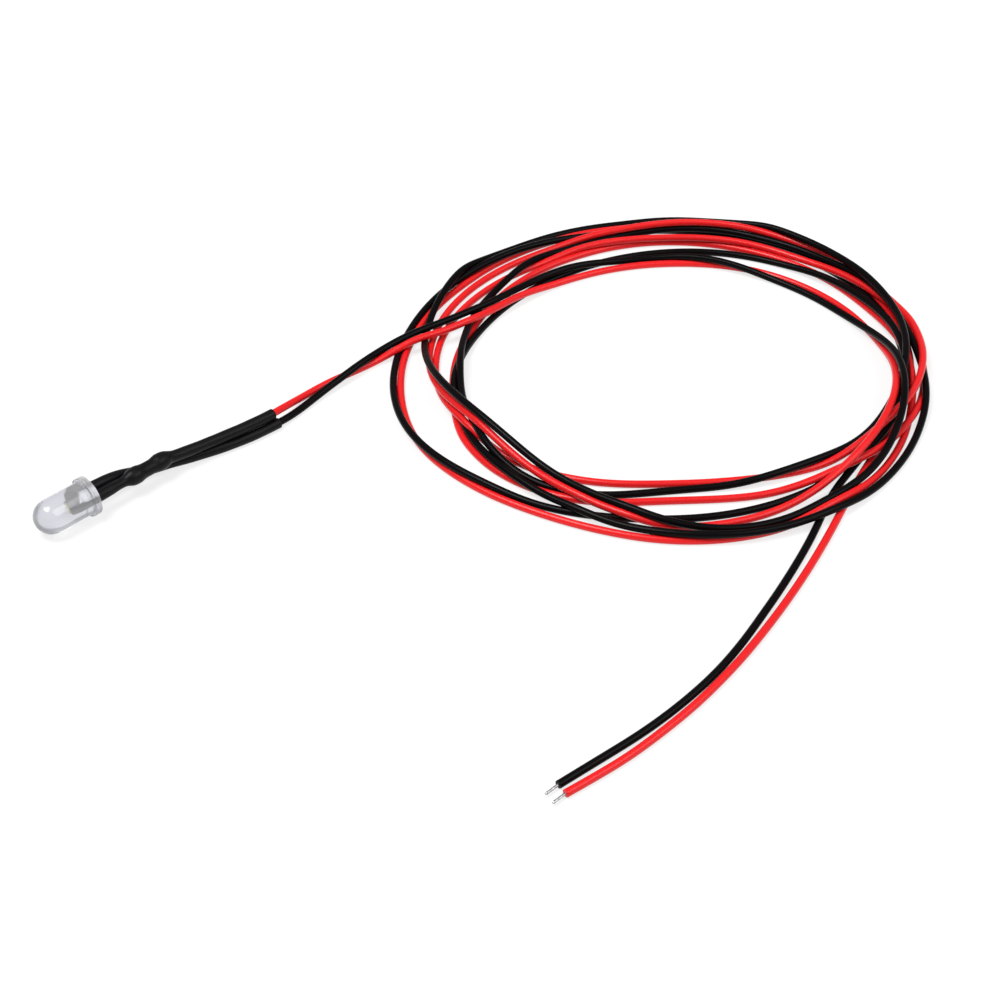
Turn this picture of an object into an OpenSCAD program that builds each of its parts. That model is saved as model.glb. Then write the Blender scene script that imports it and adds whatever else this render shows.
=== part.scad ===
// Pre-wired indicator lamp: a 5 mm LED in a clear epoxy lens, with its series resistor
// and its soldered joints under two black heat-shrink sleeves, and a red and a black
// lead that lie together in a loose coil. Their far ends are stripped and tinned.
//
// Millimetres, +Z up. X is the lamp's axis, with the dome towards -X. The origin is on
// that axis, in the plane of the flange's front face, which seats on a panel. The lamp
// lies on the rim of its flange, so the surface under everything is at z = floor_z.

/* [Lens] */
// Diameter of the lens barrel
barrel_d = 5; // [4.9:0.05:5.1]
// Length of the lens in front of the flange, dome included
lens_front = 8; // [7.4:0.1:9]
// Diameter of the flange
flange_d = 5.8; // [5.6:0.1:6]
// Thickness of the flange
flange_t = 1; // [0.8:0.1:1.2]
// Distance of the flange's flat from the axis, on the cathode side
flat_y = 2.5; // [2.5:0.05:2.7]

/* [Lead frame] */
// Distance between the centres of the two legs
leg_pitch = 2.54; // [2.5:0.01:2.6]
// Width and thickness of a leg
leg_w = 0.5; // [0.4:0.05:0.5]
// How far the cut legs reach behind the flange's front face
leg_end = 4; // [3.6:0.1:4.2]
// Diameter of the reflector cup's head
cup_d = 1.15; // [1:0.05:1.2]
// Depth of the reflector cup
cup_depth = 0.45; // [0.35:0.05:0.5]
// Side of the square light-emitting die
die_w = 0.3; // [0.2:0.05:0.35]
// Diameter of the bond wire
bond_d = 0.05; // [0.04:0.01:0.06]

/* [Resistor] */
// Length of the coated body
body_len = 6.2; // [6:0.1:6.3]
// Diameter of the coated body over its end caps
body_d = 2.12; // [2:0.02:2.12]
// Diameter of the coated body between its caps
waist_d = 1.7; // [1.6:0.05:1.75]
// Diameter of the ceramic core
core_d = 1.2; // [1.1:0.05:1.2]
// Diameter of its wire leads
lead_d = 0.5; // [0.4:0.05:0.5]

/* [Sleeves and leads] */
// Wall of the shrunk sleeves
sleeve_wall = 0.2; // [0.15:0.01:0.2]
// Diameter of a lead over its insulation
wire_d = 1.1; // [1:0.05:1.1]
// Diameter of a stranded conductor
conductor_d = 0.38; // [0.3:0.02:0.4]
// Diameter of a stripped end after tinning
tinned_d = 0.4; // [0.36:0.02:0.44]
// Length of a stripped end
strip_len = 2.2; // [2:0.1:3]

/* [Coil] */
// Inner radius of the coil of leads
coil_r_in = 27; // [26.5:0.5:29]
// Outer radius of the coil of leads
coil_r_out = 41.5; // [40:0.5:42]
// Height of the coil of leads
coil_h = 4.4; // [4:0.2:5]

/* [Hidden] */

$fn = 64;
barrel_r = barrel_d / 2;
barrel_len = lens_front - barrel_r;
floor_z = -flange_d / 2;
leg_y = leg_pitch / 2;

// Lead frame, in front of the flange: the cup's rim, its floor and its back
cup_rim_x = -3.2;
cup_floor_x = cup_rim_x + cup_depth;
cup_back_x = cup_rim_x + 1;
cup_rim_r = 0.45;
cup_floor_r = 0.26;
die_t = 0.12;
post_y = -0.98;
bond_turn_x = cup_rim_x - 0.15;

// Resistor: its axis is parallel to X, beside the anode leg
body_x = 7.1;
body_y = -1;
cap_len = 1.5;
cap_d = 1.7;
coat_end = 0.15;

// Joints: the lapped wires lie side by side, with a film of solder between them
film = 0.03;
lap_y = -leg_y + leg_w / 2 + lead_d / 2 + film;
lap_start = 1.8;
knee_x = 4.6;
black_lap_y = leg_y - leg_w / 2 - conductor_d / 2 - film;
lap_len = 2.1;
lead_rise = 0.195;
conductor_rise = -0.255;
red_start_x = 17;
black_start_x = 5.5;

// Coil: its centre, the notch in its wall where the leads go in, and the one where
// they come out
coil_x = 80.5;
coil_y = -34.4;
coil_bevel = 1.2;
notch_in_x = 59.5;
notch_out = [73.6, -72.6];
notch_out_turn = 19;

// Routes: x, y and the height of the centre above the surface. A sleeve's points also
// have its outer radius.
ANODE_SLEEVE = [
    [1.1, -1.12, 2.9, 0.86], [2.4, -1.04, 2.9, 0.86], [3.9, -1, 2.9, 0.84],
    [5.2, -1, 2.9, 0.74], [6.2, -1, 2.9, 0.76], [6.7, -1, 2.9, 0.98],
    [7.2, -1, 2.9, 1.22], [7.8, -1, 2.9, 1.3], [8.5, -1, 2.9, 1.3],
    [9, -1, 2.9, 1.16], [9.5, -1, 2.9, 1.08], [10.9, -1, 2.9, 1.08],
    [11.4, -1, 2.9, 1.16], [11.9, -1, 2.9, 1.3], [12.6, -1, 2.9, 1.3],
    [13.3, -1, 2.89, 1.2], [13.8, -1.02, 2.84, 0.98], [14.4, -1.1, 2.75, 0.86],
    [15.4, -1.22, 2.62, 0.84], [17, -1.48, 2.56, 0.84], [19.4, -1.85, 2.5, 0.8],
    [22, -2.22, 2.46, 0.8], [25, -2.63, 2.42, 0.8], [28.2, -2.93, 2.36, 0.8],
    [31.2, -3.1, 2.32, 0.8]];
CATHODE_SLEEVE = [
    [1.1, 1.15, 2.9, 0.86], [2.5, 1.1, 2.9, 0.86], [4, 1.08, 2.87, 0.84],
    [5.5, 1.1, 2.65, 0.84], [7, 1.15, 2.25, 0.84], [8.5, 1.1, 1.8, 0.82],
    [10.2, 1, 1.3, 0.8], [12, 0.7, 0.92, 0.8], [14.2, 0.15, 0.82, 0.8],
    [16.6, -0.7, 0.82, 0.8], [19.4, -1.65, 0.82, 0.8], [22.2, -2.45, 0.82, 0.8],
    [25.2, -3.1, 0.82, 0.8], [28.4, -3.55, 0.82, 0.8], [31.6, -3.75, 0.82, 0.8]];
JOINT = [[14.5, -1.11, 2.74], [16.1, -1.34, 2.6]];
RED_STRANDS = [[16.7, -1.434, 2.56], [17, -1.48, 2.56]];
BLACK_STRANDS = [[5.11, 1.087, 2.754], [5.5, 1.1, 2.65]];
RED_OUTSIDE = [
    [33.5, -2.55, 1.9], [36.5, -1.8, 1.15], [39.5, -1.3, 0.66], [42.5, -1.15, 0.57],
    [45.5, -1.45, 0.57], [48.5, -1.9, 0.57], [52, -2.3, 0.6], [55.5, -3, 1.3],
    [58.2, -3.8, 2.2], [59.5, -4.25, 2.5]];
BLACK_OUTSIDE = [
    [34, -3.6, 0.62], [37, -3.15, 0.6], [40, -2.65, 0.68], [42.5, -2.4, 0.9],
    [45.5, -2.35, 1.3], [48.5, -2.2, 1.66], [51.5, -1.95, 1.7], [55, -1.6, 1.5],
    [58.2, -2.05, 1.95], [59.5, -2.3, 2]];
RED_TAIL = [
    [74, -73.7], [70, -75.2], [66, -76.6], [62, -77.9], [58, -79.1], [54, -80.2],
    [50, -81.2], [46, -82.1], [42, -82.9], [38, -83.5], [34, -84], [30, -84.3],
    [26, -84.4], [22, -84.4], [18, -84.2], [14, -83.7], [11.6, -83.4], [9.6, -83.1]];
BLACK_TAIL = [
    [73.2, -71.6], [70, -73], [66, -74.6], [62, -76], [58, -77.3], [54, -78.5],
    [50, -79.6], [46, -80.7], [42, -81.6], [38, -82.3], [34, -82.7], [30, -82.9],
    [26, -82.9], [22, -82.7], [18, -82.3], [14, -81.9], [12, -81.7], [10, -81.5]];
tail_h = 0.57;

function unit(v) = v / norm(v);

// A route's point in the part's frame
function place(p) = [p[0], p[1], p[2] + floor_z];

// The middle line of the joint at the red lead, raised by "rise"
function joint_line(rise) = [for (p = JOINT) place(p) + [0, 0, rise]];

// Direction of a route at point i: the chord between its neighbours
function heading(path, i) = unit(path[min(i + 1, len(path) - 1)] - path[max(i - 1, 0)]);

// A ring of n points round the route at point i, at right angles to it
function ring(path, i, r, n) =
    let (t = heading(path, i), s = unit(cross([0, 0, 1], t)), u = cross(t, s))
    [for (k = [0 : n - 1]) path[i] + r * (cos(360 * k / n) * s + sin(360 * k / n) * u)];

// Two triangles for each quarter between ring i and the next, from point number "first"
function wall(rings, n, first) = [
    for (i = [0 : rings - 2], k = [0 : n - 1])
        let (a = first + i * n + k, b = first + i * n + (k + 1) % n)
        each [[a, a + n, b + n], [a, b + n, b]]];

function flipped(faces) = [for (f = faces) [f[0], f[2], f[1]]];

// A flat washer of triangles between the rings that start at points "outer" and "inner"
function washer(outer, inner, n) = [
    for (k = [0 : n - 1])
        let (j = (k + 1) % n)
        each [[outer + k, outer + j, inner + j], [outer + k, inner + j, inner + k]]];

// A closed solid tube swept along a path
module cord(path, r, n = 8) {
    rings = len(path);
    points = [for (i = [0 : rings - 1]) each ring(path, i, r, n)];
    first_cap = [for (k = [0 : n - 1]) k];
    last_cap = [for (k = [n - 1 : -1 : 0]) (rings - 1) * n + k];
    polyhedron(points, concat(wall(rings, n, 0), [first_cap, last_cap]), convexity = 6);
}

module bent_wire(path, d) {
    cord(path, d / 2, 12);
}

// A shrunk sleeve: a hollow tube whose radius follows what it covers
module sleeve(route, n = 16) {
    path = [for (p = route) place(p)];
    rings = len(path);
    inner = rings * n;
    outside = [for (i = [0 : rings - 1]) each ring(path, i, route[i][3], n)];
    inside = [for (i = [0 : rings - 1]) each ring(path, i, route[i][3] - sleeve_wall, n)];
    mouths = concat(washer(0, inner, n), flipped(washer(inner - n, 2 * inner - n, n)));
    polyhedron(
        concat(outside, inside),
        concat(wall(rings, n, 0), flipped(wall(rings, n, inner)), mouths),
        convexity = 6);
}

// Puts what is modelled along Z on the line from a towards b
module along(a, b) {
    v = b - a;
    translate(a)
        rotate([0, acos(v[2] / norm(v)), atan2(v[1], v[0])])
            children();
}

// A straight cylinder along X from x to x + len, at height z in the part's frame
module bar_x(x, y, z, d, len) {
    translate([x, y, z])
        rotate([0, 90, 0])
            cylinder(d = d, h = len);
}

// Solder round a lap joint, along Z: thick in the middle and drawn out at both ends
module spindle(len, r_mid, r_end) {
    rotate_extrude()
        polygon([[0, 0], [r_end, 0], [r_mid, len * 0.2], [r_mid, len * 0.8],
            [r_end, len], [0, len]]);
}

module plate(outline) {
    translate([0, 0, -leg_w / 2])
        linear_extrude(leg_w)
            polygon(outline);
}

module cup_recess() {
    translate([cup_rim_x, 0, 0])
        rotate([0, 90, 0])
            cylinder(r1 = cup_rim_r, r2 = cup_floor_r, h = cup_depth);
}

module lens() {
    color([0.93, 0.94, 0.96, 0.5])
        difference() {
            rotate([0, -90, 0])
                rotate_extrude($fn = 96) {
                    translate([0, barrel_len])
                        intersection() {
                            circle(r = barrel_r);
                            square(barrel_r);
                        }
                    square([barrel_r, barrel_len]);
                    translate([0, -flange_t])
                        square([flange_d / 2, flange_t]);
                }
            translate([-0.5, flat_y, -flange_d])
                cube([flange_t + 1, flange_d, 2 * flange_d]);
            cathode_frame();
            anode_post();
            cup_recess();
            bond_wire();
        }
}

// The anvil: the cathode leg widens into an arm that carries the reflector cup
module cathode_frame() {
    edge = leg_y + leg_w / 2;
    inner = leg_y - leg_w / 2;
    color([0.72, 0.74, 0.72])
        difference() {
            union() {
                plate([[leg_end, inner], [leg_end, edge], [-1.2, edge], [-2.5, 1.1],
                    [-2.9, 0.4], [-2.3, -0.4], [-1.4, -0.3], [-0.5, inner]]);
                bar_x(cup_rim_x, 0, 0, cup_d, cup_back_x - cup_rim_x);
            }
            cup_recess();
        }
}

module anode_post() {
    edge = -leg_y - leg_w / 2;
    inner = -leg_y + leg_w / 2;
    color([0.72, 0.74, 0.72])
        plate([[leg_end, edge], [leg_end, inner], [-0.4, inner], [-1.1, -0.66],
            [-2.3, -0.8], [cup_rim_x, -0.8], [cup_rim_x, -1.2], [-1.8, edge]]);
}

module led_die() {
    color([0.45, 0.5, 0.55])
        translate([cup_floor_x - die_t, -die_w / 2, -die_w / 2])
            cube([die_t, die_w, die_w]);
}

module phosphor_fill() {
    color([0.9, 0.88, 0.45])
        difference() {
            cup_recess();
            led_die();
            bond_wire();
        }
}

// Gold wire from the die's face, over the cup's rim and down to the post
module bond_wire() {
    die_x = cup_floor_x - die_t;
    color([0.85, 0.7, 0.3]) {
        bar_x(bond_turn_x, 0, 0, bond_d, die_x - bond_turn_x);
        bar_x(bond_turn_x, post_y, 0, bond_d, cup_rim_x - bond_turn_x);
        translate([bond_turn_x, post_y / 2, 0])
            rotate([0, 0, 90])
                rotate_extrude(angle = 180)
                    translate([-post_y / 2, 0])
                        circle(d = bond_d, $fn = 24);
    }
}

module anode_solder() {
    y = (lap_y - leg_y) / 2;
    color([0.75, 0.76, 0.78])
        difference() {
            along([lap_start, y, 0], [knee_x, y, 0])
                spindle(lap_len, 0.58, 0.5);
            anode_post();
            bar_x(lap_start - 1, lap_y, 0, lead_d, lap_len + 2);
        }
}

module resistor_front_lead() {
    cap_x = body_x + coat_end;
    color([0.78, 0.78, 0.8])
        bent_wire([[lap_start, lap_y, 0], [knee_x, lap_y, 0], [knee_x + 0.9, body_y, 0],
            [cap_x, body_y, 0]], lead_d);
}

// A pressed steel cup: its floor carries the lead, its bore grips the ceramic core
module end_cap(x, turn) {
    color([0.8, 0.8, 0.82])
        translate([x, body_y, 0])
            rotate([0, turn, 0])
                difference() {
                    cylinder(d = cap_d, h = cap_len);
                    translate([0, 0, 0.25])
                        cylinder(d = core_d, h = cap_len);
                }
}

module resistor_front_cap() {
    end_cap(body_x + coat_end, 90);
}

module resistor_rear_cap() {
    end_cap(body_x + body_len - coat_end, -90);
}

module resistor_core() {
    color([0.9, 0.88, 0.84])
        bar_x(body_x + coat_end + 0.25, body_y, 0, core_d,
            body_len - 2 * (coat_end + 0.25));
}

module resistor_coating() {
    r_end = body_d / 2;
    r_mid = waist_d / 2;
    neck = cap_len + coat_end;
    color([0.85, 0.72, 0.5])
        difference() {
            translate([body_x, body_y, 0])
                rotate([0, 90, 0])
                    rotate_extrude()
                        polygon([[0, 0], [r_end * 0.6, 0], [r_end * 0.9, 0.2],
                            [r_end, 0.6], [r_end, neck - 0.4], [r_mid, neck + 0.5],
                            [r_mid, body_len - neck - 0.5],
                            [r_end, body_len - neck + 0.4], [r_end, body_len - 0.6],
                            [r_end * 0.9, body_len - 0.2], [r_end * 0.6, body_len],
                            [0, body_len]]);
            for (x = [body_x + coat_end, body_x + body_len - coat_end - cap_len])
                bar_x(x, body_y, 0, cap_d, cap_len);
            resistor_core();
            for (x = [body_x, body_x + body_len - coat_end])
                bar_x(x, body_y, 0, lead_d, coat_end);
        }
}

module resistor_rear_lead() {
    cap_x = body_x + body_len - coat_end;
    color([0.78, 0.78, 0.8])
        bent_wire(concat([[cap_x, body_y, 0], [13.8, body_y, 0]], joint_line(lead_rise)),
            lead_d);
}

module red_joint_solder() {
    middle = joint_line(0);
    color([0.75, 0.76, 0.78])
        difference() {
            along(middle[0], middle[1])
                translate([0, 0, 0.05])
                    spindle(1.5, 0.55, 0.46);
            joint_wire(lead_rise, lead_d);
            joint_wire(conductor_rise, conductor_d);
        }
}

// The straight stretch of a wire through the joint at the red lead
module joint_wire(rise, d) {
    line = joint_line(rise);
    along(line[0], line[1])
        cylinder(d = d, h = 1.6);
}

// The bared strands of the red lead, lapped under the resistor's rear lead
module red_conductor() {
    color([0.8, 0.52, 0.35])
        bent_wire(concat(joint_line(conductor_rise), [for (p = RED_STRANDS) place(p)]),
            conductor_d);
}

module cathode_solder() {
    y = (black_lap_y + leg_y) / 2;
    color([0.75, 0.76, 0.78])
        difference() {
            along([lap_start, y, 0], [leg_end, y, 0])
                spindle(lap_len, 0.55, 0.46);
            translate([0, leg_y - leg_w / 2, -leg_w / 2])
                cube([leg_end, leg_w, leg_w]);
            bar_x(lap_start - 1, black_lap_y, 0, conductor_d, lap_len + 2);
        }
}

// The bared strands of the black lead, lapped along the inside of the cathode leg
module black_conductor() {
    color([0.8, 0.52, 0.35])
        bent_wire(concat([[lap_start, black_lap_y, 0], [4.3, black_lap_y, 0]],
            [for (p = BLACK_STRANDS) place(p)]), conductor_d);
}

module anode_sleeve() {
    color([0.06, 0.06, 0.06])
        sleeve(ANODE_SLEEVE);
}

module cathode_sleeve() {
    color([0.06, 0.06, 0.06])
        sleeve(CATHODE_SLEEVE);
}

// The stretch of a lead from its bared end, through its sleeve and on to the coil
module lead_in(sleeve_route, start_x, outside) {
    covered = [for (p = sleeve_route) if (p[0] >= start_x) place(p)];
    open = [for (p = outside) place(p)];
    cord(concat(covered, open), wire_d / 2);
}

module red_lead_in() {
    color([0.9, 0.05, 0.06])
        lead_in(ANODE_SLEEVE, red_start_x, RED_OUTSIDE);
}

module black_lead_in() {
    color([0.03, 0.03, 0.03])
        lead_in(CATHODE_SLEEVE, black_start_x, BLACK_OUTSIDE);
}

module wire_coil() {
    reach = 12;
    color([0.75, 0.06, 0.06])
        difference() {
            translate([coil_x, coil_y, floor_z])
                rotate_extrude($fn = 128)
                    polygon([[coil_r_in, 0], [coil_r_out, 0],
                        [coil_r_out, coil_h - coil_bevel],
                        [coil_r_out - coil_bevel, coil_h],
                        [coil_r_in + coil_bevel, coil_h],
                        [coil_r_in, coil_h - coil_bevel]]);
            translate([notch_in_x - reach, -5.3, floor_z - 1])
                cube([reach, 5, coil_h + 2]);
            translate([notch_out[0], notch_out[1], floor_z - 1])
                rotate([0, 0, notch_out_turn])
                    translate([-reach, -3, 0])
                        cube([reach, 5, coil_h + 2]);
        }
}

module tail(route) {
    cord([for (p = route) place([p[0], p[1], tail_h])], wire_d / 2);
}

module red_tail() {
    color([0.9, 0.05, 0.06])
        tail(RED_TAIL);
}

module black_tail() {
    color([0.03, 0.03, 0.03])
        tail(BLACK_TAIL);
}

// A stripped and tinned end, straight out of the end of its tail towards -X
module tinned_end(route) {
    end = route[len(route) - 1];
    color([0.8, 0.81, 0.83])
        bar_x(end[0] - strip_len, end[1], tail_h + floor_z, tinned_d, strip_len);
}

module red_tinned_end() {
    tinned_end(RED_TAIL);
}

module black_tinned_end() {
    tinned_end(BLACK_TAIL);
}

lens();
cathode_frame();
anode_post();
led_die();
phosphor_fill();
bond_wire();
anode_solder();
resistor_front_lead();
resistor_front_cap();
resistor_core();
resistor_coating();
resistor_rear_cap();
resistor_rear_lead();
red_joint_solder();
red_conductor();
cathode_solder();
black_conductor();
anode_sleeve();
cathode_sleeve();
red_lead_in();
black_lead_in();
wire_coil();
red_tail();
black_tail();
red_tinned_end();
black_tinned_end();
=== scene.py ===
import bpy
import numpy as np
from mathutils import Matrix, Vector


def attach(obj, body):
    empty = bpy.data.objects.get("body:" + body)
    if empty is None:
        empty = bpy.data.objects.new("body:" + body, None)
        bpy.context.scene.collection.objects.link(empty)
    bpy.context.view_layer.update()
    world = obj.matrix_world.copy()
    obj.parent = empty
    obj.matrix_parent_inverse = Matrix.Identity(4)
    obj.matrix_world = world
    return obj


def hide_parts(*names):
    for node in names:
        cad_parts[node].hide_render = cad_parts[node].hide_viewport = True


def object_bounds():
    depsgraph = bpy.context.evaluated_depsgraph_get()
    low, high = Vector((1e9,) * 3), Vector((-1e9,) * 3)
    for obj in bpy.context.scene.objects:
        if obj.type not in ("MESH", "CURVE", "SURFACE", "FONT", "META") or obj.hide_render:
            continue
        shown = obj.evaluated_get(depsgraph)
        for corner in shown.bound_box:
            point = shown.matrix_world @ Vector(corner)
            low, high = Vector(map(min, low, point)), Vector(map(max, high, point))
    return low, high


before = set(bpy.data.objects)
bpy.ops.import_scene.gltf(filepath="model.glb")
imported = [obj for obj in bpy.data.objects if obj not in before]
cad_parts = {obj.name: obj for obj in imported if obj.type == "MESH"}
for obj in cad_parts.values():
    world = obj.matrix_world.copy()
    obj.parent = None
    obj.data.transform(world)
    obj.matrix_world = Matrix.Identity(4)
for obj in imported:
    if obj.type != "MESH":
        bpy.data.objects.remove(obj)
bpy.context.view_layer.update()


# ---- Camera -------------------------------------------------------------------------
# It looks down at 40 degrees over the lamp's side, with a longish lens, so that the
# coil lies level across the picture and the lamp points to its lower left corner.
camera = bpy.data.objects.new("camera", bpy.data.cameras.new("camera"))
bpy.context.collection.objects.link(camera)
camera.data.sensor_width = 36
camera.data.lens = 77.4
camera.location = (-0.11878, -0.20211, 0.19039)
camera.rotation_euler = np.radians([50, 0, -44.605])
bpy.context.scene.camera = camera


# ---- Red and black leads ------------------------------------------------------------
# Two stranded copper wires under smooth PVC insulation, 1.1 mm across. They come out of
# the sleeves, lie nearly five turns each in one loose hand-wound coil, and leave it
# together. Nothing ties the coil: each turn lies on the surface or on other turns.
#
# Lengths are in millimetres and headings in degrees. A turn climbs by CLIMB over one
# laid before that is nearer than CLOSE, and keeps that height for SPREAD samples more.
WIRE_R = 0.55
WIRE_GAP = 1.12
SURFACE = -2.9
COIL_CENTRE = (80.5, -34.4)
COIL_TURN = 44.605
COLUMN = 15
HOLD = (-30, 270)
EASE = 24
SAMPLE = 3
SAMPLES = 360 // SAMPLE
CLIMB = 1.15
CLOSE = 0.6
SPREAD = 2
TYPICAL_R = 36
STEEPEST = 1.5
PULL_OUT = 0.08
PULL_UP = 0.05
SINK = 0.015
PUSH = 0.6
BENCH = 0.57
STIFFNESS = 8

# Each route is x, y and height above the surface, in millimetres
RED_COVERED = [
    [17, -1.48, 2.56], [19.4, -1.85, 2.5], [22, -2.22, 2.46], [25, -2.63, 2.42],
    [28.2, -2.93, 2.36], [31.2, -3.1, 2.32]]
BLACK_COVERED = [
    [5.5, 1.1, 2.65], [7, 1.15, 2.25], [8.5, 1.1, 1.8], [10.2, 1, 1.3],
    [12, 0.7, 0.92], [14.2, 0.15, 0.82], [16.6, -0.7, 0.82], [19.4, -1.65, 0.82],
    [22.2, -2.45, 0.82], [25.2, -3.1, 0.82], [28.4, -3.55, 0.82], [31.6, -3.75, 0.82]]
RED_OUTSIDE = [
    [33.5, -2.55, 1.9], [36.5, -1.8, 1.15], [39.5, -1.3, 0.66], [42.5, -1.15, 0.57],
    [45.5, -1.45, 0.57], [48.5, -1.9, 0.57], [52, -2.3, 0.6], [55.5, -3, 1.3],
    [58.2, -3.8, 2.2], [59.5, -4.25, 2.5]]
BLACK_OUTSIDE = [
    [34, -3.6, 0.62], [37, -3.15, 0.6], [40, -2.65, 0.68], [42.5, -2.4, 0.9],
    [45.5, -2.35, 1.3], [48.5, -2.2, 1.66], [51.5, -1.95, 1.7], [55, -1.6, 1.5],
    [58.2, -2.05, 1.95], [59.5, -2.3, 2]]
TAIL_H = 0.57
RED_TAIL = [
    [74, -73.7], [70, -75.2], [66, -76.6], [62, -77.9], [58, -79.1], [54, -80.2],
    [50, -81.2], [46, -82.1], [42, -82.9], [38, -83.5], [34, -84], [30, -84.3],
    [26, -84.4], [22, -84.4], [18, -84.2], [14, -83.7], [11.6, -83.4], [9.6, -83.1]]
BLACK_TAIL = [
    [73.2, -71.6], [70, -73], [66, -74.6], [62, -76], [58, -77.3], [54, -78.5],
    [50, -79.6], [46, -80.7], [42, -81.6], [38, -82.3], [34, -82.7], [30, -82.9],
    [26, -82.9], [22, -82.7], [18, -82.3], [14, -81.9], [12, -81.7], [10, -81.5]]

# A turn is an oval: its radius, how far its middle is off the coil's and towards which
# heading, then how much it is drawn out and towards which heading
RED_OVALS = [
    [33, 3.5, 290, 1.5, 35], [34.5, 6.5, 70, 2.5, 10], [34.5, 4, 45, 2.2, 5],
    [35.5, 3.5, 335, 1.5, 80], [38.2, 2.2, 115, 2, 45]]
BLACK_OVALS = [
    [32.8, 4, 310, 0.8, 120], [34.9, 7, 84, 0.8, 0], [36.5, 4.5, 0, 1.8, 85],
    [33.3, 3, 345, 1.8, 40], [37.8, 2.3, 130, 1.8, 35]]
TURNS = 5
TRAVEL = np.arange(TURNS * SAMPLES) * SAMPLE


def smooth_line(t, points, at):
    """Natural cubic spline: cubics between the points, with one slope and one bend where
    two meet and no bend at the two ends. The bends solve a three-band linear system."""
    t, points = np.asarray(t, float), np.asarray(points, float)
    step = np.diff(t)
    count = len(t)
    inner = np.arange(1, count - 1)
    bands = np.eye(count)
    bands[inner, inner - 1] = step[:-1]
    bands[inner, inner] = 2 * (step[:-1] + step[1:])
    bands[inner, inner + 1] = step[1:]
    slope = (np.diff(points, axis=0).T / step).T
    right = np.zeros_like(points)
    right[1:-1] = 6 * np.diff(slope, axis=0)
    bend = np.linalg.solve(bands, right)
    k = np.clip(np.searchsorted(t, at) - 1, 0, count - 2)
    shape = (-1,) + (1,) * (points.ndim - 1)
    u, h = (at - t[k]).reshape(shape), step[k].reshape(shape)
    first = slope[k] - h * (2 * bend[k] + bend[k + 1]) / 6
    return points[k] + u * first + u**2 * bend[k] / 2 + u**3 * (bend[k + 1] - bend[k]) / (6 * h)


def run_length(path):
    """Distance along a polyline to each of its points."""
    return np.concatenate([[0], np.cumsum(np.linalg.norm(np.diff(path, axis=0), axis=1))])


def around_centre(points):
    """Radius from the coil's centre, and travel in degrees from heading 180."""
    x, y = (np.array(points)[:, :2] - COIL_CENTRE).T
    heading = np.degrees(np.arctan2(y, x)) + COIL_TURN
    return np.hypot(x, y), 180 - np.where(heading < 0, heading + 360, heading)


def by_turn(samples):
    """Samples of both leads as one row for each turn, the red lead's turns first."""
    return samples.reshape(2 * TURNS, SAMPLES)


def oval_radii(ovals, travel):
    """Radius of one lead's turns: a circle's, plus a cosine of the heading that moves it
    off the centre, plus a cosine of twice the heading that draws it out. Each turn holds
    its own values over the travel in HOLD and changes into the next after it."""
    size, shift, shift_to, draw, draw_to = np.array(ovals, float).T
    shift_to, draw_to = np.radians(shift_to), 2 * np.radians(draw_to)
    parts = (size, shift * np.cos(shift_to), shift * np.sin(shift_to),
             draw * np.cos(draw_to), draw * np.sin(draw_to))
    keys = (360 * np.arange(len(ovals))[:, None] + HOLD).ravel()
    size, east, north, wide, slant = (np.interp(travel, keys, np.repeat(a, 2)) for a in parts)
    heading = np.radians(180 - travel)
    return (size + east * np.cos(heading) + north * np.sin(heading)
            + wide * np.cos(2 * heading) + slant * np.sin(2 * heading))


def planned_turns(ovals, outside, tail):
    """One lead's radius at each sample of its travel: a spline through the ends of its
    two routes and the ovals between them. The height is the routes' own where it is
    held by them, and the surface's between."""
    r_in, t_in = around_centre(outside[-3:])
    r_out, t_out = around_centre(tail[:3])
    t_out = t_out + 360 * TURNS
    t = np.arange(t_in[-1] + EASE, t_out[0] - EASE, COLUMN)
    r = np.concatenate([r_in, oval_radii(ovals, t), r_out])
    used = (TRAVEL >= t_in[0]) & (TRAVEL <= t_out[-1])
    held = used & ((TRAVEL <= t_in[-1]) | (TRAVEL >= t_out[0]))
    radius = smooth_line(np.concatenate([t_in, t, t_out]), r, TRAVEL)
    entry = np.interp(TRAVEL, t_in, [p[2] for p in outside[-3:]])
    height = np.where(held & (TRAVEL < 180), entry, BENCH)
    return np.where(used, radius, 0), height, used, held


def climbed_heights(radius, height, used, held):
    """Heights as if the turns were laid one by one, from the tails back to the lamp:
    where a turn comes close to one laid before, it climbs a wire's width over it. A
    climb is spread to both sides along the travel, and the passes repeat so that a
    turn also clears one that has itself climbed."""
    turns = 2 * TURNS
    turn, lead = np.tile(np.arange(TURNS), 2), np.repeat([0, 1], TURNS)
    laid = 2 * (TURNS - 1 - turn) + lead
    lower, upper = np.nonzero(laid[:, None] < laid[None, :])
    close = np.abs(by_turn(radius)[lower] - by_turn(radius)[upper]) < CLOSE
    close &= by_turn(used)[lower] & by_turn(used)[upper]
    level = height.copy()
    for _ in range(turns):
        climbed = np.full((turns, SAMPLES), BENCH)
        np.maximum.at(climbed, upper, np.where(close, by_turn(level)[lower] + CLIMB, BENCH))
        climbed = np.where(held, height, climbed.reshape(height.shape))
        level = climbed.copy()
        for k in range(1, SPREAD + 1):
            level[:, k:] = np.maximum(level[:, k:], climbed[:, :-k])
            level[:, :-k] = np.maximum(level[:, :-k], climbed[:, k:])
        level = np.where(held, height, level)
    return level


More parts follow.
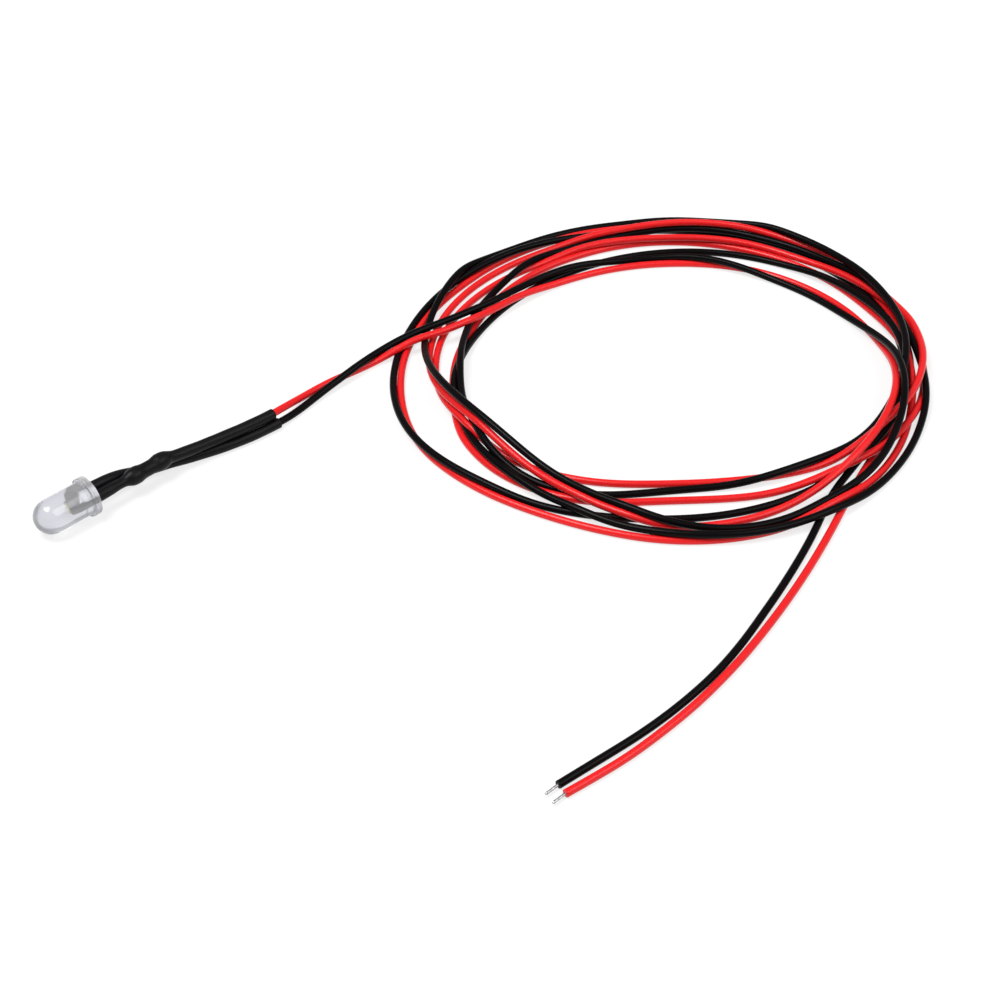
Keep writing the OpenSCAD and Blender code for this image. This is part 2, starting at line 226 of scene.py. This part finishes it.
def settled_turns(plans):
    """Lets all the turns settle: at each heading, each pair of turns that is nearer than
    one diameter is pushed apart at right angles to both, while every turn is drawn to
    its planned radius and height and smoothed along its travel. The coil's surface
    holds the lowest turns up."""
    goal, height, used, held = (np.array(x) for x in zip(*plans))
    height = climbed_heights(goal, height, used, held)
    # Samples that a lead doesn't use lie far off, where they meet nothing
    far = 1000 + 50 * np.arange(2)[:, None]
    radius = np.where(used, goal, far)
    rest_r, rest_h, planned = radius.copy(), height.copy(), height.copy()
    turns = 2 * TURNS
    one, two = np.triu_indices(turns, 1)
    both = by_turn(used)[one] & by_turn(used)[two]
    free_one = np.where(by_turn(held)[one], 0, 1)
    free_two = np.where(by_turn(held)[two], 0, 1)
    share = np.maximum(free_one + free_two, 1)
    inside = np.zeros_like(used)
    inside[:, 1:-1] = used[:, 2:] & used[:, :-2] & used[:, 1:-1] & ~held[:, 1:-1]

    def smoothed(a, amount):
        bend = np.zeros_like(a)
        bend[:, 1:-1] = (a[:, 2:] + a[:, :-2]) / 2 - a[:, 1:-1]
        return a + np.where(inside, amount * bend, 0)

    def pushed(radius, height, amount):
        slope = np.zeros_like(radius)
        slope[:, 1:-1] = (radius[:, 2:] - radius[:, :-2]) / (2 * np.radians(SAMPLE) * TYPICAL_R)
        slope = by_turn(np.clip(slope, -STEEPEST, STEEPEST))
        r, h = by_turn(radius), by_turn(height)
        across = (r[one] - r[two]) / np.sqrt(1 + (slope[one] - slope[two]) ** 2)
        up = h[one] - h[two]
        apart = np.hypot(across, up) + 1e-9
        push = np.where(both, np.maximum(WIRE_GAP - apart, 0), 0) * amount / apart / share
        moved_r, moved_h = np.zeros_like(r), np.zeros_like(h)
        np.add.at(moved_r, one, push * across * free_one)
        np.add.at(moved_r, two, -push * across * free_two)
        np.add.at(moved_h, one, push * up * free_one)
        np.add.at(moved_h, two, -push * up * free_two)
        radius = radius + moved_r.reshape(radius.shape)
        height = np.maximum(height + moved_h.reshape(height.shape), BENCH)
        return np.where(held, rest_r, radius), np.where(held, rest_h, height)

    for stage, rounds, pushes in (("drawn", 240, 2), ("sinking", 40, 3), ("clear", 1, 30)):
        for _ in range(rounds):
            if stage != "clear":
                radius = radius + PULL_OUT * np.where(used, goal - radius, 0)
                off = smoothed(smoothed(np.where(used, radius - goal, 0), 0.5), 0.5)
                radius = np.where(used, goal + off, radius)
            if stage == "drawn":
                height = smoothed(height + PULL_UP * (planned - height), 0.5)
            elif stage == "sinking":
                height = smoothed(height - SINK, 0.3)
            height = np.maximum(height, BENCH)
            for _ in range(pushes):
                radius, height = pushed(radius, height, PUSH)
    return radius, height, used & ~held


def lead_path(covered, outside, radius, height, free, tail):
    """The whole route of one lead in metres: in its sleeve, to the coil, round it and
    on to its end, as one spline over the route's length with a ring every millimetre.
    Each inner point is then drawn towards the middle of its neighbours, some times over,
    as the wire's own stiffness does."""
    angle = np.radians(180 - TRAVEL[free] - COIL_TURN)
    x = COIL_CENTRE[0] + radius[free] * np.cos(angle)
    y = COIL_CENTRE[1] + radius[free] * np.sin(angle)
    turns = np.column_stack([x, y, height[free]])
    ends = np.column_stack([tail, np.full(len(tail), TAIL_H)])
    route = np.concatenate([covered, outside, turns, ends]) + [0, 0, SURFACE]
    along = run_length(route)
    path = smooth_line(along, route, np.linspace(0, along[-1], int(along[-1])))
    for _ in range(STIFFNESS):
        path[1:-1] += (path[2:] + path[:-2] - 2 * path[1:-1]) / 4
    return path / 1000


def ring_frames(path):
    """The sideways and the upward direction at each point of a path that is never
    upright: across the path and level, and square to both."""
    ahead = np.gradient(path, axis=0)
    ahead /= np.linalg.norm(ahead, axis=1)[:, None]
    side = np.cross([0, 0, 1], ahead)
    side /= np.linalg.norm(side, axis=1)[:, None]
    return side, np.cross(ahead, side)


def grid_piece(name, points, round_u, round_v):
    """A piece from a grid of points, u by v: a quad between each four neighbours, and
    across the seam where that direction is round. An end that is open in u and round
    in v is closed by a fan to the middle of its ring."""
    u, v = points.shape[:2]
    i = np.arange(u if round_u else u - 1)[:, None]
    j = np.arange(v if round_v else v - 1)[None, :]
    i2, j2 = (i + 1) % u, (j + 1) % v
    faces = np.stack([i * v + j, i2 * v + j, i2 * v + j2, i * v + j2], -1).reshape(-1, 4)
    verts, corners = points.reshape(-1, 3), faces.ravel()
    sizes = np.full(len(faces), 4)
    if round_v and not round_u:
        k = np.arange(v)
        near, far = len(verts), len(verts) + 1
        verts = np.concatenate([verts, [points[0].mean(0), points[-1].mean(0)]])
        first = np.stack([np.full(v, near), k, (k + 1) % v], -1)
        last = np.stack([np.full(v, far), (u - 1) * v + (k + 1) % v, (u - 1) * v + k], -1)
        corners = np.concatenate([corners, first.ravel(), last.ravel()])
        sizes = np.concatenate([sizes, np.full(2 * v, 3)])
    mesh = bpy.data.meshes.new(name)
    mesh.vertices.add(len(verts))
    mesh.vertices.foreach_set("co", verts.ravel())
    mesh.loops.add(len(corners))
    mesh.loops.foreach_set("vertex_index", corners.astype(np.int32))
    mesh.polygons.add(len(sizes))
    mesh.polygons.foreach_set("loop_start", np.concatenate([[0], np.cumsum(sizes)[:-1]]))
    mesh.update(calc_edges=True)
    mesh.shade_smooth()
    if round_v and not round_u:
        flat = np.concatenate([np.zeros(len(faces), bool), np.ones(2 * v, bool)])
        mesh.attributes.new("sharp_face", "BOOLEAN", "FACE").data.foreach_set("value", flat)
    piece = bpy.data.objects.new(name, mesh)
    bpy.context.collection.objects.link(piece)
    return piece


def round_tube(name, path, radius, sides):
    """A solid round tube: a circle of the given radius about each point of the path,
    square to it, then a small rounded rim and a flat fan at each end."""
    side, up = ring_frames(path)
    ahead = np.cross(side, up)
    rim = np.array([0.0, 0.05, 0.15]) * radius
    shrink = np.array([0.9, 0.97, 1.0]) * radius
    first = path[0] + rim[:, None] * ahead[0]
    last = path[-1] - rim[::-1, None] * ahead[-1]
    path = np.concatenate([first, path[1:-1], last])
    side, up = (np.concatenate([a[[0, 0]], a, a[[-1, -1]]]) for a in (side, up))
    radii = np.concatenate([shrink, np.full(len(path) - 6, radius), shrink[::-1]])
    angle = np.linspace(0, 2 * np.pi, sides, endpoint=False)
    spoke = np.cos(angle)[:, None] * side[:, None] + np.sin(angle)[:, None] * up[:, None]
    return grid_piece(name, path[:, None] + radii[:, None, None] * spoke, False, True)


class Amount:
    """A number that varies over a surface. Arithmetic on it adds Math nodes."""

    def __init__(self, finish, socket):
        self.finish, self.socket = finish, socket

    def maths(self, operation, first, second):
        made = self.finish.node("ShaderNodeMath", {"operation": operation}, {0: first, 1: second})
        return Amount(self.finish, made.outputs[0])

    def __add__(self, other):
        return self.maths("ADD", self, other)

    def __mul__(self, other):
        return self.maths("MULTIPLY", self, other)

    def __sub__(self, other):
        return self.maths("SUBTRACT", self, other)

    def __rsub__(self, other):
        return self.maths("SUBTRACT", other, self)

    __radd__, __rmul__ = __add__, __mul__


class Finish:
    """A procedural material: its nodes read the object's own coordinates, in metres."""

    def __init__(self, name):
        self.material = bpy.data.materials.new(name)
        self.material.use_nodes = True
        self.material.node_tree.nodes.clear()
        self.place = self.node("ShaderNodeTexCoord").outputs["Object"]

    def node(self, kind, settings=(), inputs=()):
        """Adds a node: its settings first, then a value or a link for each socket."""
        made = self.material.node_tree.nodes.new(kind)
        for name, value in dict(settings).items():
            setattr(made, name, value)
        for name, value in dict(inputs).items():
            value = value.socket if isinstance(value, Amount) else value
            if isinstance(value, bpy.types.NodeSocket):
                self.material.node_tree.links.new(value, made.inputs[name])
            else:
                made.inputs[name].default_value = value
        return made

    def noise(self, scale, detail=2, stretch=(1, 1, 1)):
        """Soft noise from 0 to 1. The stretch multiplies its scale in x, y and z."""
        at = self.node("ShaderNodeMapping", {}, {"Vector": self.place, "Scale": stretch})
        made = self.node("ShaderNodeTexNoise", {},
                         {"Vector": at.outputs[0], "Scale": scale, "Detail": detail})
        return Amount(self, made.outputs["Fac"])

    def blend(self, factor, one, two):
        """A colour between two, by a factor from 0 to 1."""
        made = self.node("ShaderNodeMix", {"data_type": "RGBA"}, {0: factor, 6: one, 7: two})
        return made.outputs[2]

    def bump(self, height, distance):
        """A surface normal from a height of 0 to 1, which is a distance in metres."""
        made = self.node("ShaderNodeBump", {}, {"Height": height, "Distance": distance})
        return made.outputs[0]

    def surface(self, inputs):
        """Ends the material with one Principled shader that has the given inputs."""
        shader = self.node("ShaderNodeBsdfPrincipled", {}, inputs)
        self.node("ShaderNodeOutputMaterial", {}, {"Surface": shader.outputs[0]})
        return self.material


def insulation(name, colour, deep, rough, specular):
    """Extruded PVC: one glossy colour, slightly deeper in places, with faint streaks."""
    finish = Finish(name)
    patches, grain = finish.noise(90), finish.noise(1400, 3)
    return finish.surface({
        "Base Color": finish.blend(patches, colour + (1,), deep + (1,)),
        "Roughness": rough + 0.1 * grain,
        "IOR": 1.54,
        "Specular IOR Level": specular,
        "Normal": finish.bump(grain, 0.00001)})


leads = {}
plans = [planned_turns(RED_OVALS, RED_OUTSIDE, RED_TAIL),
         planned_turns(BLACK_OVALS, BLACK_OUTSIDE, BLACK_TAIL)]
settled_r, settled_h, loose = settled_turns(plans)
for k, (colour, covered, outside, tail, finish) in enumerate((
        ("red", RED_COVERED, RED_OUTSIDE, RED_TAIL,
         insulation("red_pvc", (0.74, 0.012, 0.014), (0.64, 0.008, 0.01), 0.24, 0.25)),
        ("black", BLACK_COVERED, BLACK_OUTSIDE, BLACK_TAIL,
         insulation("black_pvc", (0.003, 0.0025, 0.003), (0.002, 0.0015, 0.002), 0.24, 0.06)))):
    path = lead_path(covered, outside, settled_r[k], settled_h[k], loose[k], tail)
    lead = round_tube(colour + "_lead", path, WIRE_R / 1000, 24)
    lead.data.materials.append(finish)
    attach(lead, "root")
    colour + "_insulation"
    leads[colour] = (lead, path, covered[-1])
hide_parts("red_lead_in", "red_tail", "wire_coil")
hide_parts("black_lead_in", "black_tail")


# ---- Tinned ends --------------------------------------------------------------------
# The last 2.2 mm of each lead, stripped: seven twisted copper strands, dipped in solder
# that fills the grooves between them and leaves a rounded tip. They are still part of
# their lead, and lie at its end at the tail's height.
TINNED_R = 0.2
STRIP = 2.2
STRANDS = 6
LAY = 3.4


def twisted_end(name, x, y):
    """A bundle along X: its radius swells at each of six outer strands, the pattern
    turns with x by one strand in each lay, and the last tenth closes to a round tip."""
    along = np.linspace(0, 1, 60)[:, None]
    angle = np.linspace(0, 2 * np.pi, 48, endpoint=False)[None, :]
    closing = np.sqrt(1 - np.clip((along - 0.9) / 0.1, 0, 0.995) ** 2)
    groove = 0.09 * np.abs(np.sin(STRANDS / 2 * (angle + LAY * along)))
    radius = TINNED_R * closing * (0.91 + groove)
    start = x + 0.3
    px = start - (STRIP + 0.3) * along + 0 * angle
    pz = SURFACE + TAIL_H + radius * np.cos(angle)
    points = np.stack([px, y + radius * np.sin(angle), pz], -1) / 1000
    return grid_piece(name, points[::-1], False, True)


tinned = Finish("tinned_strands")
dull = tinned.noise(4200, 3)
tinned.surface({
    "Base Color": tinned.blend(dull, (0.6, 0.6, 0.61, 1), (0.42, 0.42, 0.44, 1)),
    "Metallic": 1,
    "Roughness": 0.28 + 0.25 * dull,
    "Normal": tinned.bump(dull, 0.00002)})
for colour, tail in (("red", RED_TAIL), ("black", BLACK_TAIL)):
    lead, path, mouth = leads[colour]
    end = twisted_end(colour + "_stripped_end", *tail[-1])
    end.data.materials.append(tinned.material)
    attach(end, "root")
    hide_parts(colour + "_tinned_end")
    exit_point = (mouth[0] / 1000, mouth[1] / 1000, (mouth[2] + SURFACE) / 1000)


# ---- Shrunk sleeves -----------------------------------------------------------------
# Two tubes of black heat-shrink, drawn tight over the joints: one over the anode leg,
# the resistor and the red lead's joint, the other over the cathode leg and the black
# lead's joint. The resistor's two end caps make the lumps in the first.
WALL = 0.2
ANODE_ROUTE = [
    [1.1, -1.12, 2.9, 0.86], [2.4, -1.04, 2.9, 0.86], [3.9, -1, 2.9, 0.84],
    [5.2, -1, 2.9, 0.74], [6.2, -1, 2.9, 0.76], [6.7, -1, 2.9, 0.98],
    [7.2, -1, 2.9, 1.22], [7.8, -1, 2.9, 1.3], [8.5, -1, 2.9, 1.3],
    [9, -1, 2.9, 1.16], [9.5, -1, 2.9, 1.08], [10.9, -1, 2.9, 1.08],
    [11.4, -1, 2.9, 1.16], [11.9, -1, 2.9, 1.3], [12.6, -1, 2.9, 1.3],
    [13.3, -1, 2.89, 1.2], [13.8, -1.02, 2.84, 0.98], [14.4, -1.1, 2.75, 0.86],
    [15.4, -1.22, 2.62, 0.84], [17, -1.48, 2.56, 0.84], [19.4, -1.85, 2.5, 0.8],
    [22, -2.22, 2.46, 0.8], [25, -2.63, 2.42, 0.8], [28.2, -2.93, 2.36, 0.8],
    [31.2, -3.1, 2.32, 0.8]]
CATHODE_ROUTE = [
    [1.1, 1.15, 2.9, 0.86], [2.5, 1.1, 2.9, 0.86], [4, 1.08, 2.87, 0.84],
    [5.5, 1.1, 2.65, 0.84], [7, 1.15, 2.25, 0.84], [8.5, 1.1, 1.8, 0.82],
    [10.2, 1, 1.3, 0.8], [12, 0.7, 0.92, 0.8], [14.2, 0.15, 0.82, 0.8],
    [16.6, -0.7, 0.82, 0.8], [19.4, -1.65, 0.82, 0.8], [22.2, -2.45, 0.82, 0.8],
    [25.2, -3.1, 0.82, 0.8], [28.4, -3.55, 0.82, 0.8], [31.6, -3.75, 0.82, 0.8]]


def shrunk_sleeve(name, route, waves):
    """A thin tube about its route: the outer radius is a spline through the route's
    radii with a slight waviness, the inner one is less by the wall, and a half circle
    joins the two at each mouth, so that the whole is one closed ring of profile."""
    route = np.array(route) + [0, 0, SURFACE, 0]
    along = run_length(route[:, :3])
    at = np.linspace(0, along[-1], 420)
    centre = smooth_line(along, route[:, :3], at)
    outer = np.interp(at, along, route[:, 3])
    soft = np.ones(9) / 9
    outer = np.convolve(np.pad(outer, 4, mode="edge"), soft, "valid")
    side, up = ring_frames(centre)
    angle = np.linspace(0, 2 * np.pi, 48, endpoint=False)
    wave = 0.008 * np.sin(waves * at[:, None] + 2 * np.sin(3 * angle)[None, :])
    lip = np.pi * (np.arange(1, 8) / 8)
    half = (WALL - 0.02) / 2
    middle = outer - half
    rows, radii, shift = [np.arange(len(at))], [outer], [np.zeros(len(at))]
    rows.append(np.full(7, len(at) - 1))
    radii.append(middle[-1] + half * np.cos(lip))
    shift.append(half * np.sin(lip))
    rows.append(np.arange(len(at))[::-1])
    radii.append(outer[::-1] - 2 * half)
    shift.append(np.zeros(len(at)))
    rows.append(np.zeros(7, int))
    radii.append(middle[0] - half * np.cos(lip))
    shift.append(-half * np.sin(lip))
    rows, radii, shift = (np.concatenate(a) for a in (rows, radii, shift))
    ahead = np.cross(side, up)
    spoke = (np.cos(angle)[None, :, None] * side[rows][:, None]
             + np.sin(angle)[None, :, None] * up[rows][:, None])
    base = centre[rows] + shift[:, None] * ahead[rows]
    reach = radii[:, None] + wave[rows] - 0.008
    return grid_piece(name, (base[:, None] + reach[..., None] * spoke) / 1000, True, True)


shrink = Finish("shrunk_polyolefin")
skin, streak = shrink.noise(2600, 3), shrink.noise(700, 2, (0.15, 1, 1))
shrink.surface({
    "Base Color": shrink.blend(skin, (0.003, 0.003, 0.0035, 1), (0.006, 0.006, 0.007, 1)),
    "Roughness": 0.3 + 0.1 * streak + 0.06 * skin,
    "IOR": 1.5,
    "Specular IOR Level": 0.12,
    "Normal": shrink.bump(skin + streak, 0.000012)})
for name, route, waves in (("anode", ANODE_ROUTE, 1.7), ("cathode", CATHODE_ROUTE, 1.3)):
    sleeve = shrunk_sleeve(name + "_shrunk_sleeve", route, waves)
    sleeve.data.materials.append(shrink.material)
    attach(sleeve, "root")
    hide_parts(name + "_sleeve")


# ---- Lens ---------------------------------------------------------------------------
# One casting of water-clear epoxy, poured round the lead frame in a polished mould: a
# 5 mm barrel with a half-round dome in front and a flange behind, which has a flat on
# the cathode's side. It is faintly milky.
BARREL_R = 2.5
DOME_X = -5.5
FLANGE_R = 2.9
FLANGE_BACK = 1
FLAT_Y = 2.5


def corner(x, r, from_deg, to_deg, radius, steps):
    """Points of an arc about (x, r), from one angle to another."""
    angle = np.radians(np.linspace(from_deg, to_deg, steps))
    return np.column_stack([x + radius * np.cos(angle), r + radius * np.sin(angle)])


def cast_lens(name):
    """A profile of x and radius turned about the X axis: dome, barrel, a small fillet,
    the flange with its rounded rims, and a flat back. Y is then cut at the flat."""
    edge = 0.08
    profile = np.concatenate([
        corner(DOME_X, 0, 179.5, 90, BARREL_R, 64),
        np.column_stack([np.linspace(DOME_X, -0.15, 24)[1:], np.full(23, BARREL_R)]),
        corner(-0.12, BARREL_R + 0.12, 270, 360, 0.12, 8)[1:],
        np.column_stack([np.zeros(4), np.linspace(BARREL_R + 0.15, FLANGE_R - edge - 0.02, 4)]),
        corner(edge, FLANGE_R - edge, 180, 90, edge, 8),
        np.column_stack([np.linspace(0.15, 0.85, 6), np.full(6, FLANGE_R)]),
        corner(FLANGE_BACK - edge, FLANGE_R - edge, 90, 0, edge, 8),
        np.column_stack([np.full(10, FLANGE_BACK), np.linspace(FLANGE_R - 0.12, 0.02, 10)])])
    angle = np.linspace(0, 2 * np.pi, 160, endpoint=False)
    x, r = profile[:, :1], profile[:, 1:]
    y = np.minimum(r * np.sin(angle), FLAT_Y)
    points = np.stack([x + 0 * y, y, r * np.cos(angle)], -1) / 1000
    return grid_piece(name, points, False, True)


epoxy = Finish("clear_epoxy")
haze = epoxy.noise(500, 2)
epoxy.surface({
    "Base Color": epoxy.blend(haze, (0.76, 0.76, 0.81, 1), (0.7, 0.7, 0.76, 1)),
    "Roughness": 0.1 + 0.08 * haze,
    "IOR": 1.5,
    "Transmission Weight": 0.75})
lens = cast_lens("cast_lens")
lens.data.materials.append(epoxy.material)
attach(lens, "root")
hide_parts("lens")


# ---- Lead frame, die, phosphor and bond wire ----------------------------------------
# Two legs stamped from silver-plated steel and cast into the lens. The cathode leg
# carries the reflector cup, with the die glued in it under yellow phosphor, and a
# gold wire runs from the die to the anode's post.
plating = Finish("silver_plating")
# Painted dark reflections: the plating's colour is dark overall and darker still in streaks along
# the brushing grain. The same grain also varies its roughness and bumps.
brushing_and_dark_reflection = plating.noise(2500, 3, (0.2, 1, 1))
plating.surface({
    "Base Color": plating.blend(brushing_and_dark_reflection, (0.3, 0.3, 0.24, 1), (0.1, 0.1, 0.08, 1)),
    "Metallic": 1,
    "Roughness": 0.3 + 0.2 * brushing_and_dark_reflection,
    "Normal": plating.bump(brushing_and_dark_reflection, 0.00001)})

chip = Finish("polished_die")
cells = chip.noise(9000, 2)
chip.surface({
    "Base Color": chip.blend(cells, (0.16, 0.19, 0.22, 1), (0.26, 0.3, 0.32, 1)),
    "Roughness": 0.15 + 0.1 * cells})

glow = Finish("phosphor_resin")
grains = glow.noise(12000, 3)
glow.surface({
    "Base Color": glow.blend(grains, (0.8, 0.76, 0.12, 1), (0.66, 0.66, 0.08, 1)),
    "Roughness": 0.5 + 0.2 * grains,
    "Normal": glow.bump(grains, 0.00002)})

gold = Finish("drawn_gold")
drawn = gold.noise(15000, 2)
gold.surface({
    "Base Color": gold.blend(drawn, (0.85, 0.6, 0.22, 1), (0.78, 0.52, 0.17, 1)),
    "Metallic": 1,
    "Roughness": 0.2 + 0.1 * drawn})


def finish_nodes(material, *names):
    """Gives CAD nodes one material in place of the plain one that they came with."""
    for name in names:
        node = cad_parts[name]
        node.data.materials.clear()
        node.data.materials.append(material)


finish_nodes(plating.material, "cathode_frame", "anode_post")
finish_nodes(chip.material, "led_die")
finish_nodes(glow.material, "phosphor_fill")
finish_nodes(gold.material, "bond_wire")


# ---- Resistor -----------------------------------------------------------------------
# A small axial resistor in the anode's line: a ceramic core, two pressed steel caps
# with a tinned wire welded to each, and a dipped tan coating over the whole body.
caps = Finish("pressed_caps")
pressed = caps.noise(3000, 3)
caps.surface({
    "Base Color": caps.blend(pressed, (0.5, 0.5, 0.51, 1), (0.36, 0.36, 0.38, 1)),
    "Metallic": 1,
    "Roughness": 0.32 + 0.2 * pressed})

ceramic = Finish("ceramic_core")
film = ceramic.noise(1800, 3)
ceramic.surface({
    "Base Color": ceramic.blend(film, (0.72, 0.69, 0.62, 1), (0.6, 0.57, 0.5, 1)),
    "Roughness": 0.7 + 0.15 * film,
    "Normal": ceramic.bump(film, 0.00002)})

coat = Finish("dipped_coating")
pores = coat.noise(2200, 3)
coat.surface({
    "Base Color": coat.blend(pores, (0.62, 0.42, 0.2, 1), (0.5, 0.33, 0.15, 1)),
    "Roughness": 0.42 + 0.15 * pores,
    "Normal": coat.bump(pores, 0.00002)})

wire = Finish("tinned_wire")
pulled = wire.noise(3600, 2, (0.15, 1, 1))
wire.surface({
    "Base Color": wire.blend(pulled, (0.6, 0.6, 0.62, 1), (0.46, 0.46, 0.49, 1)),
    "Metallic": 1,
    "Roughness": 0.22 + 0.2 * pulled})

finish_nodes(caps.material, "resistor_front_cap", "resistor_rear_cap")
finish_nodes(ceramic.material, "resistor_core")
finish_nodes(coat.material, "resistor_coating")
finish_nodes(wire.material, "resistor_front_lead", "resistor_rear_lead")


# ---- Soldered joints ----------------------------------------------------------------
# Lap joints inside the sleeves: a leg or a resistor lead beside the bared copper
# strands of a lead, with a spindle of solder drawn round both.
solder = Finish("solder")
frost = solder.noise(2400, 4)
solder.surface({
    "Base Color": solder.blend(frost, (0.6, 0.61, 0.63, 1), (0.44, 0.45, 0.47, 1)),
    "Metallic": 1,
    "Roughness": 0.25 + 0.3 * frost,
    "Normal": solder.bump(frost, 0.00003)})

copper = Finish("bared_copper")
twist = copper.noise(4500, 2, (0.3, 1, 1))
copper.surface({
    "Base Color": copper.blend(twist, (0.72, 0.36, 0.2, 1), (0.55, 0.25, 0.13, 1)),
    "Metallic": 1,
    "Roughness": 0.3 + 0.2 * twist,
    "Normal": copper.bump(twist, 0.00003)})

finish_nodes(solder.material, "anode_solder", "red_joint_solder", "cathode_solder")
finish_nodes(copper.material, "red_conductor", "black_conductor")


# ---- Floor and light ----------------------------------------------------------------
# A white sweep under soft studio lamps. To the camera, to gloss and through the lens
# it shows as white, with the shadow of the lamp and the coil kept on it.
floor_points = np.array([
    [[x, y, 1000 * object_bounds()[0][2]] for y in (-3000, 3000)] for x in (-3000, 3000)]) / 1000
floor = grid_piece("floor", floor_points, False, False)
white = Finish("white_floor")
path_kind = white.node("ShaderNodeLightPath")
seen = Amount(white, path_kind.outputs["Is Camera Ray"])
for kind in ("Is Glossy Ray", "Is Transmission Ray"):
    seen = seen.maths("MAXIMUM", seen, Amount(white, path_kind.outputs[kind]))
paper = white.node("ShaderNodeBsdfDiffuse", {}, {"Color": (0.9, 0.9, 0.9, 1)})
light = white.node("ShaderNodeEmission", {}, {"Strength": 1})
sweep = white.node("ShaderNodeMixShader", {},
                   {0: 0.75 * seen, 1: paper.outputs[0], 2: light.outputs[0]})
white.node("ShaderNodeOutputMaterial", {}, {"Surface": sweep.outputs[0]})
floor.data.materials.append(white.material)

world = bpy.data.worlds.new("studio")
bpy.context.scene.world = world
world.use_nodes = True
sky = world.node_tree.nodes["Background"]
sky.inputs["Color"].default_value = (1, 1, 1, 1)
sky.inputs["Strength"].default_value = 0.32


def soft_lamp(name, place, aim, size, power):
    """A square area lamp that faces a point."""
    lamp = bpy.data.objects.new(name, bpy.data.lights.new(name, "AREA"))
    bpy.context.collection.objects.link(lamp)
    lamp.data.size = size
    lamp.data.energy = power
    lamp.location = place
    back = np.array(place) - aim
    lamp.rotation_euler = (np.arctan2(np.hypot(back[0], back[1]), back[2]), 0,
                           np.arctan2(back[0], -back[1]))


soft_lamp("key", (-0.2, 0.1, 0.7), (0.06, -0.04, 0), 0.35, 5.6)
soft_lamp("fill", (0.3, -0.55, 0.6), (0.06, -0.04, 0), 0.6, 3.2)
bpy.context.scene.view_settings.view_transform = "Standard"
